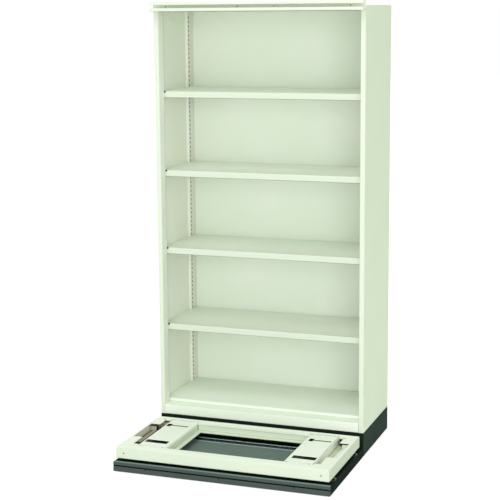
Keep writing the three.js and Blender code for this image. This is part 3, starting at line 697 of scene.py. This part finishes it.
beam_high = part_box("carriage_front_beam")[1]
carriage_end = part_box("carriage_side_beam_right")[1].x
CLOSER = ("Z", 0.0675, 0.0965)
NOTCH_CLOSER_TOP = ("Z", 0.0865, 0.0965)
TROUGH_CLOSER_TOP = ("Z", 0.0900, 0.0965)
NOTCH_CLOSER = from_middle(0.1060, 0.1105)
TROUGH_CLOSER = from_middle(0.1595, 0.1628)
LEFT_INSIDE = ("X", -0.4325, -0.3560)
LEFT_WALL = ("X", -0.4325, -0.4312)
CLOSER_MARK = ("X", -0.4010, -0.3830)
RIGHT_INSIDE = ("X", 0.3560, 0.4325)
# a painted shadow line under the rear beam's lip, and painted shade at its foot
REAR_BEAM_LINE = (("Z", 0.0885, 0.0925), from_middle(0.1640, 0.1660))
REAR_BEAM_FOOT = (("Z", 0.0500, 0.0545), from_middle(0.1600, 0.1850))
BEAM_ZONES = [
    (IVORY_PAINTED_LIGHT, face_at("Z", beam_high.z)),
    (IVORY_END_SHADE, face_at("X", -carriage_end)),
    (IVORY_END_SHADE, face_at("X", carriage_end)),
    (NOTCH_WALL_LIGHT, CLOSER, LEFT_WALL),
    (NOTCH_END_SHADE, CLOSER, LEFT_INSIDE, NOTCH_CLOSER),
    (CORNER_SHADE, NOTCH_CLOSER_TOP, LEFT_INSIDE, NOTCH_CLOSER),
    (CORNER_SHADE, CLOSER, CLOSER_MARK, NOTCH_CLOSER),
    (TROUGH_END_SHADE, CLOSER, LEFT_INSIDE, TROUGH_CLOSER),
    (CORNER_SHADE, TROUGH_CLOSER_TOP, LEFT_INSIDE, TROUGH_CLOSER),
    (CORNER_SHADE, CLOSER, RIGHT_INSIDE, TROUGH_CLOSER),
    (LEDGE_LINE, *REAR_BEAM_LINE),
    (CORNER_SHADE, *REAR_BEAM_FOOT),
]
put_on(
    ivory_paint("beam_powder_coat", IVORY_BEAM, BEAM_ZONES),
    "carriage_front_beam",
    "carriage_rear_beam",
    "carriage_side_beam",
)

# %% [markdown]
# The ledge frame lines the opening in the middle of the carriage. It has a fine darker line near
# its lower edge, and painted shade in its rear left corner. The wheel brackets hang below, out of
# the light, and are painted black as a stand-in for the shade under the carriage, in powder coat
# with more gloss.

# %% Ledge frame and brackets
IVORY_LEDGE = srgb(224, 236, 214)
# black that stands in for the shade under the carriage
LACQUER_AND_SHADE_BLACK = srgb(30, 31, 31)
INNER_LINE = ("Z", 0.0698, 0.0728)
REAR_LEFT_SEAM = (("Z", 0.0700, 0.0985), ("X", -0.2440, -0.2365), from_middle(0.160, 0.165))

# painted shade in the rear left corner
LEDGE_ZONES = [(LEDGE_LINE, INNER_LINE), (SEAM_SHADE, *REAR_LEFT_SEAM)]
put_on(ivory_paint("ledge_powder_coat", IVORY_LEDGE, LEDGE_ZONES), "carriage_ledge_frame")
black_lacquer = powder_coat(
    "black_lacquer",
    LACQUER_AND_SHADE_BLACK,
    sheen=(0.45, 0.60),
    edge_radius=0.0005,
    gloss=0.2,
    drift=0.1,
)
put_on(black_lacquer, "wheel_bracket")

# %% [markdown]
# Bare metal shows how it was made, in its grain. A noise that is squeezed across the grain and left
# long along it draws such lines. The same noise drives tint, sheen and bump, so that each line of
# the grain changes all three at once, as a real one does.

# %% Bare metal


def stretched(tree, scale):
    """Object coordinates, squeezed along each axis by the given amounts."""
    mapping = add_node(tree, "ShaderNodeMapping")
    mapping.inputs["Scale"].default_value = scale
    tree.links.new(add_node(tree, "ShaderNodeTexCoord").outputs["Object"], mapping.inputs["Vector"])
    return mapping.outputs["Vector"]


def grained_metal(name, colour, grain, sheen, depth, edge_radius, drift=0.06, zones=()):
    """Bare metal whose grain is a noise squeezed along each axis by the grain's amounts."""
    material, tree, shader = new_material(name)
    where = add_node(tree, "ShaderNodeTexCoord").outputs["Object"]
    streaks = noise(tree, stretched(tree, grain), scale=1.0, detail=3.0)
    shade = ramp(tree, streaks, 0.0, 1.0)
    tint = blend_colours(tree, shade, tinted(colour, -drift), tinted(colour, drift))
    tree.links.new(zoned(tree, where, tint, zones), shader.inputs["Base Color"])
    tree.links.new(ramp(tree, streaks, *sheen), shader.inputs["Roughness"])
    tree.links.new(bump(tree, streaks, depth, edge_radius), shader.inputs["Normal"])
    shader.inputs["Metallic"].default_value = 1.0
    return material


print("metals ready")

# %% [markdown]
# The two rails are drawn steel bars, so fine scratches run along X. They could be one plain metal,
# but the wheels keep the treads bright, which is painted partly as wear and partly as a painted
# highlight, the sides are painted black as shade, and the sawn ends are painted darker. Zones set
# these apart.

# %% Rails
RAIL_STEEL = srgb(128, 142, 146)
# the treads: partly wear, partly a painted highlight
RAIL_TREAD_WEAR_AND_HIGHLIGHT = srgb(196, 226, 222)
RAIL_END = srgb(46, 56, 52)
RAIL_EDGE = 0.0006
RAIL_BASE = 0.0022

rail_end = front_rail_high.x
tread = ("Z", front_rail_high.z - RAIL_EDGE, front_rail_high.z + SKIN)
sides = ("Z", front_rail_low.z + RAIL_BASE, front_rail_high.z - RAIL_EDGE)
# the sides are painted black as shade, the ends painted darker
RAIL_ZONES = [
    (RAIL_TREAD_WEAR_AND_HIGHLIGHT, tread, LIGHT_LENGTH),
    (SHADE_BLACK, sides),
    (RAIL_END, ("X", -rail_end - FACE_REACH, -rail_end + SKIN)),
    (RAIL_END, ("X", rail_end - SKIN, rail_end + FACE_REACH)),
]
drawn_steel = grained_metal(
    "drawn_rail_steel",
    RAIL_STEEL,
    grain=(4, 900, 900),
    sheen=(0.30, 0.44),
    depth=0.000005,
    edge_radius=0.0004,
    zones=RAIL_ZONES,
)
put_on(drawn_steel, "front_rail", "rear_rail")

# %% [markdown]
# Shelf clips are zinc plated, which leaves a faint cloud of crystals. These are the same size in
# every direction, so the noise is squeezed alike along all three axes. The recesses of the screws
# are the same finish, only darker as painted shade, and finer.

# %% Plated metal
zinc_plate = grained_metal(
    "zinc_plate",
    srgb(196, 199, 192),
    grain=(260, 260, 260),
    sheen=(0.30, 0.46),
    depth=0.00001,
    edge_radius=0.0004,
)
# the recess metal is darker as painted shade
recess_shade_metal = grained_metal(
    "screw_recess_shade",
    srgb(72, 74, 72),
    grain=(700, 700, 700),
    sheen=(0.30, 0.45),
    depth=0.00001,
    edge_radius=0.0001,
)
put_on(zinc_plate, "shelf_clip")

# %% [markdown]
# Wheels and axles are turned in a lathe, so the marks of the tool go round them: their noise is
# squeezed most along Y, the axis they turn about. The wheels are cast iron, which is darker and
# duller than the steel of the axles.

# %% Turned metal
turned_iron = grained_metal(
    "turned_iron",
    srgb(92, 94, 94),
    grain=(240, 2600, 240),
    sheen=(0.34, 0.52),
    depth=0.00002,
    edge_radius=0.0003,
)
turned_steel = grained_metal(
    "turned_steel",
    srgb(190, 193, 192),
    grain=(200, 2600, 200),
    sheen=(0.24, 0.36),
    depth=0.00001,
    edge_radius=0.0003,
)
put_on(turned_iron, "wheel_front", "wheel_rear")
put_on(turned_steel, "axle")

# %% [markdown]
# The levelling feet stand on rubber pads. Moulded rubber is matt and finely pitted. Real pits could
# be modelled only with a great many faces, so a quick noise stands for them in roughness and bump,
# and a slower one mottles the colour.

# %% Rubber
RUBBER_BLACK = srgb(40, 42, 41)


def moulded_rubber(name, colour):
    """Matt rubber with the fine pitted skin of its mould."""
    material, tree, shader = new_material(name)
    where = add_node(tree, "ShaderNodeTexCoord").outputs["Object"]
    pits = noise(tree, where, scale=1400.0)
    patches = ramp(tree, noise(tree, where, scale=40.0), 0.0, 1.0)
    tint = blend_colours(tree, patches, tinted(colour, -0.1), tinted(colour, 0.2))
    tree.links.new(tint, shader.inputs["Base Color"])
    tree.links.new(ramp(tree, pits, 0.72, 0.88), shader.inputs["Roughness"])
    tree.links.new(bump(tree, pits, 0.00006), shader.inputs["Normal"])
    return material


foot_rubber = moulded_rubber("foot_rubber", RUBBER_BLACK)
put_on(foot_rubber, "levelling_foot")
print("finishes on", len(finished), "of", len(nodes), "nodes")

# %% [markdown]
# Track wheels, axles and levelling feet are turned parts. In the CAD model they have few faces, so
# smooth ones stand for them here. A cylinder with a bevel would do for a plain pin, but these have
# steps, flanges and threads, so each is one outline spun round its own axis, as on a lathe.

# %% Spin an outline
SHARP_ANGLE = math.radians(35)


def new_piece(name, shape, materials, body, replaced=()):
    """A smooth piece made from a bmesh. It keeps its place in its mesh and rides on a body."""
    mesh = bpy.data.meshes.new(name)
    bmesh.ops.remove_doubles(shape, verts=shape.verts, dist=1e-6)
    bmesh.ops.recalc_face_normals(shape, faces=shape.faces)
    for face in shape.faces:
        face.smooth = True
    shape.to_mesh(mesh)
    shape.free()
    mesh.set_sharp_from_angle(angle=SHARP_ANGLE)
    for material in materials:
        mesh.materials.append(material)
    piece = bpy.data.objects.new(name, mesh)
    bpy.context.scene.collection.objects.link(piece)
    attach(piece, body)
    if replaced:
        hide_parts(*replaced)
    return piece


def spun(outline, centre, axis, steps):
    """A bmesh of (radius, reach) points spun round an axis, which is "Y" or "Z"."""
    shape = bmesh.new()
    points = [shape.verts.new((radius, 0.0, reach)) for radius, reach in outline]
    edges = [shape.edges.new(pair) for pair in zip(points, points[1:])]
    bmesh.ops.spin(
        shape,
        geom=[*points, *edges],
        cent=(0, 0, 0),
        axis=(0, 0, 1),
        angle=2 * math.pi,
        steps=steps,
        use_merge=True,
    )
    if axis == "Y":
        lie_down = Matrix.Rotation(-math.pi / 2, 3, "X")
        bmesh.ops.rotate(shape, verts=shape.verts, cent=(0, 0, 0), matrix=lie_down)
    bmesh.ops.translate(shape, verts=shape.verts, vec=centre)
    return shape


def middle(node_name):
    """The middle of a CAD node's box."""
    low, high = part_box(node_name)
    return (low + high) / 2


print("lathe ready")

# %% [markdown]
# A track wheel is a cast iron disc with a hub, a thinner web and a rim. The front pair has a flange
# on each side that holds the carriage on its rail, and the rear pair is plain, so that small errors
# between the rails don't jam it. Half an outline is drawn and mirrored, which keeps it even.

# %% Wheels
WHEEL_TREAD = 0.0200
WHEEL_FLANGE = 0.0230
WHEEL_STEPS = 72
HUB_AND_WEB = [
    (0.0053, -0.0106),
    (0.0092, -0.0106),
    (0.0100, -0.0098),
    (0.0100, -0.0044),
    (0.0106, -0.0040),
    (0.0152, -0.0040),
    (0.0160, -0.0048),
    (0.0160, -0.0094),
]
FLANGED_RIM = [
    (WHEEL_FLANGE - 0.0006, -0.0099),
    (WHEEL_FLANGE, -0.0093),
    (WHEEL_FLANGE, -0.0080),
    (WHEEL_TREAD, -0.0066),
]
PLAIN_RIM = [(WHEEL_TREAD - 0.0008, -0.0099), (WHEEL_TREAD, -0.0091)]

for row, rim in (("front", FLANGED_RIM), ("rear", PLAIN_RIM)):
    for side in ("left", "right"):
        name = f"wheel_{row}_{side}"
        half = HUB_AND_WEB + rim
        outline = half + [(radius, -reach) for radius, reach in reversed(half)]
        wheel = spun(outline, middle(name), "Y", WHEEL_STEPS)
        new_piece(f"turned_{name}", wheel, [turned_iron], name, [name])
print("four wheels turned")

# %% [markdown]
# An axle is a plain pin with a low head at one end and a round nut at the other. Both have a small
# chamfer. A bevel could cut it afterwards, but the outline already draws it with one slanting step.

# %% Axles
AXLE_RADIUS = 0.0050
AXLE_END_RADIUS = 0.0080
AXLE_EDGE = 0.0006
AXLE_HEAD = 0.0030
AXLE_NUT = 0.0050
AXLE_STEPS = 36

for row in ("front", "rear"):
    for side in ("left", "right"):
        name = f"axle_{row}_{side}"
        low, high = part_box(name)
        length = high.y - low.y
        outline = [
            (0.0, 0.0),
            (AXLE_END_RADIUS - AXLE_EDGE, 0.0),
            (AXLE_END_RADIUS, AXLE_EDGE),
            (AXLE_END_RADIUS, AXLE_HEAD),
            (AXLE_RADIUS, AXLE_HEAD),
            (AXLE_RADIUS, length - AXLE_NUT),
            (AXLE_END_RADIUS, length - AXLE_NUT),
            (AXLE_END_RADIUS, length - AXLE_EDGE),
            (AXLE_END_RADIUS - AXLE_EDGE, length),
            (0.0, length),
        ]
        seat = Vector(((low.x + high.x) / 2, low.y, (low.z + high.z) / 2))
        axle = spun(outline, seat, "Y", AXLE_STEPS)
        new_piece(f"turned_{name}", axle, [turned_steel], "carriage", [name])
print("four axles turned")

# %% [markdown]
# A levelling foot is a rubber pad under a threaded rod, which two hexagon nuts hold in the base. A
# real thread climbs in a helix. At this size rings in the outline look the same, and they close
# neatly. The faces above the pad take the second material, steel.

# %% Levelling feet
PAD_OUTLINE = [
    (0.0, 0.0),
    (0.0172, 0.0),
    (0.0180, 0.0008),
    (0.0180, 0.0058),
    (0.0160, 0.0080),
    (0.0050, 0.0080),
]
PAD_TOP = PAD_OUTLINE[-1][1]
THREAD_CREST = 0.0050
THREAD_ROOT = 0.0045
THREAD_PITCH = 0.0015
THREAD_END = 0.0340
ROD_TIP = [(0.0040, 0.0349), (0.0, 0.0349)]
NUT_RADIUS = 0.0092
NUT_HEIGHT = 0.0050
NUT_SEATS = (0.0167, 0.0239)
FOOT_STEPS = 40

thread = []
height = PAD_TOP
while height + THREAD_PITCH < THREAD_END:
    thread.append((THREAD_CREST, height + THREAD_PITCH / 2))
    thread.append((THREAD_ROOT, height + THREAD_PITCH))
    height += THREAD_PITCH
for place in ("front_left", "front_right", "rear_left", "rear_right"):
    name = f"levelling_foot_{place}"
    low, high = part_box(name)
    seat = Vector(((low.x + high.x) / 2, (low.y + high.y) / 2, low.z))
    foot = spun(PAD_OUTLINE + thread + ROD_TIP, seat, "Z", FOOT_STEPS)
    for face in foot.faces:
        face.material_index = int(face.calc_center_median().z > seat.z + PAD_TOP + 0.0001)
    for nut_seat in NUT_SEATS:
        nut = bmesh.ops.create_cone(
            foot,
            cap_ends=True,
            segments=6,
            radius1=NUT_RADIUS,
            radius2=NUT_RADIUS,
            depth=NUT_HEIGHT,
        )
        lift = Vector((0, 0, nut_seat + NUT_HEIGHT / 2))
        bmesh.ops.translate(foot, verts=nut["verts"], vec=seat + lift)
        for face in {face for vert in nut["verts"] for face in vert.link_faces}:
            face.material_index = 1
    new_piece(f"screw_{name}", foot, [foot_rubber, turned_steel], "base_and_cabinet", [name])
print("four feet turned, each thread of", len(thread) // 2, "rings")

# %% [markdown]
# Small screws hold the guide rail and the fascia, and more stand in the carriage's front flange. A
# screw is a low domed head: a short cylinder whose upper rim is bevelled. Two flat bars across it
# stand for the cross recess, whose dark is painted shade. A recess that is really cut would need a
# boolean, and at this size nobody could tell.

# %% Draw a screw
HEAD_SEGMENTS = 32
HEAD_TAPER = 0.98
RIM_SHARE = 0.6
BAR_LENGTH = 1.2
BAR_WIDTH = 0.24
BAR_HEIGHT = 0.2
BAR_PLACE = 0.41
QUARTER_TURN = math.pi / 2


def cross_bar(shape, angle, radius, height):
    """Adds one bar of the cross recess in the second material, and returns its corners."""
    before = set(shape.verts)
    bmesh.ops.create_cube(shape, size=1.0)
    bar = [vert for vert in shape.verts if vert not in before]
    size = (radius * BAR_LENGTH, radius * BAR_WIDTH, height * BAR_HEIGHT)
    bmesh.ops.scale(shape, verts=bar, vec=size)
    turn = Matrix.Rotation(angle, 3, "Z")
    bmesh.ops.rotate(shape, verts=bar, cent=(0, 0, 0), matrix=turn)
    bmesh.ops.translate(shape, verts=bar, vec=(0, 0, height * BAR_PLACE))
    for face in {face for vert in bar for face in vert.link_faces}:
        face.material_index = 1
    return bar


def screw_head(shape, place, turn, radius, height):
    """Adds a head whose foot stands at place and which faces along the turn's Z."""
    start = set(shape.verts)
    bmesh.ops.create_cone(
        shape,
        cap_ends=True,
        segments=HEAD_SEGMENTS,
        radius1=radius,
        radius2=radius * HEAD_TAPER,
        depth=height,
    )
    body = [vert for vert in shape.verts if vert not in start]
    rim = [edge for edge in shape.edges if all(v in body and v.co.z > 0 for v in edge.verts)]
    bmesh.ops.bevel(
        shape,
        geom=rim,
        offset=height * RIM_SHARE,
        segments=3,
        profile=0.5,
        affect="EDGES",
        material=-1,
    )
    fresh = [vert for vert in shape.verts if vert not in start]
    for angle in (0.0, QUARTER_TURN):
        fresh += cross_bar(shape, angle, radius, height)
    stand = Matrix.Translation((0, 0, height / 2))
    where = Matrix.Translation(place) @ turn.to_4x4() @ stand
    bmesh.ops.transform(shape, verts=fresh, matrix=where)


print("a screw head has", HEAD_SEGMENTS, "sides")

# %% [markdown]
# The screws go where the photograph shows them: in the web of the guide rail, in the groove of the
# fascia and along the carriage's front flange. All the screws of a group are in one mesh, because
# they ride the same body, and each has its recess turned a little further than the last.

# %% Place the screws
SCREW_TURN = 0.7
FACES_UP = Matrix.Identity(3)
FACES_FRONT = Matrix.Rotation(QUARTER_TURN, 3, "X")
plated = [zinc_plate, recess_shade_metal]
lacquered = [black_lacquer, black_lacquer]


def screw_group(name, places, turn, radius, height, materials, body):
    """One piece that holds a screw at each place."""
    shape = bmesh.new()
    for number, place in enumerate(places):
        spin = Matrix.Rotation(SCREW_TURN * number, 3, "Z")
        screw_head(shape, Vector(place), turn @ spin, radius, height)
    print(name, "has", len(places), "screws")
    return new_piece(name, shape, materials, body)


web_y = guide_high.y - 0.002
web_z = (guide_low.z + guide_high.z) / 2
guide_places = [(x, web_y, web_z) for x in (-0.386, -0.080, 0.071, 0.380)]
screw_group(
    "guide_rail_screws",
    guide_places,
    FACES_FRONT,
    radius=0.0032,
    height=0.0018,
    materials=plated,
    body="base_and_cabinet",
)

groove_y = fascia_low.y + 0.0002
groove_z = fascia_low.z + 0.0182
fascia_places = [(x, groove_y, groove_z) for x in (-0.303, 0.0, 0.300)]
screw_group(
    "fascia_screws",
    fascia_places,
    FACES_FRONT,
    radius=0.0030,
    height=0.0010,
    materials=lacquered,
    body="base_and_cabinet",
)

flange_y = carriage_y - 0.170
flange_places = [(side * x, flange_y, beam_high.z) for side in (-1, 1) for x in (0.254, 0.343)]
screw_group(
    "carriage_screws",
    flange_places,
    FACES_UP,
    radius=0.0032,
    height=0.0012,
    materials=plated,
    body="carriage",
)

# %% [markdown]
# Blender mustn't change the object's size. The last step sets the view transform to Standard.

# %% Finish
bpy.context.scene.view_settings.view_transform = "Standard"
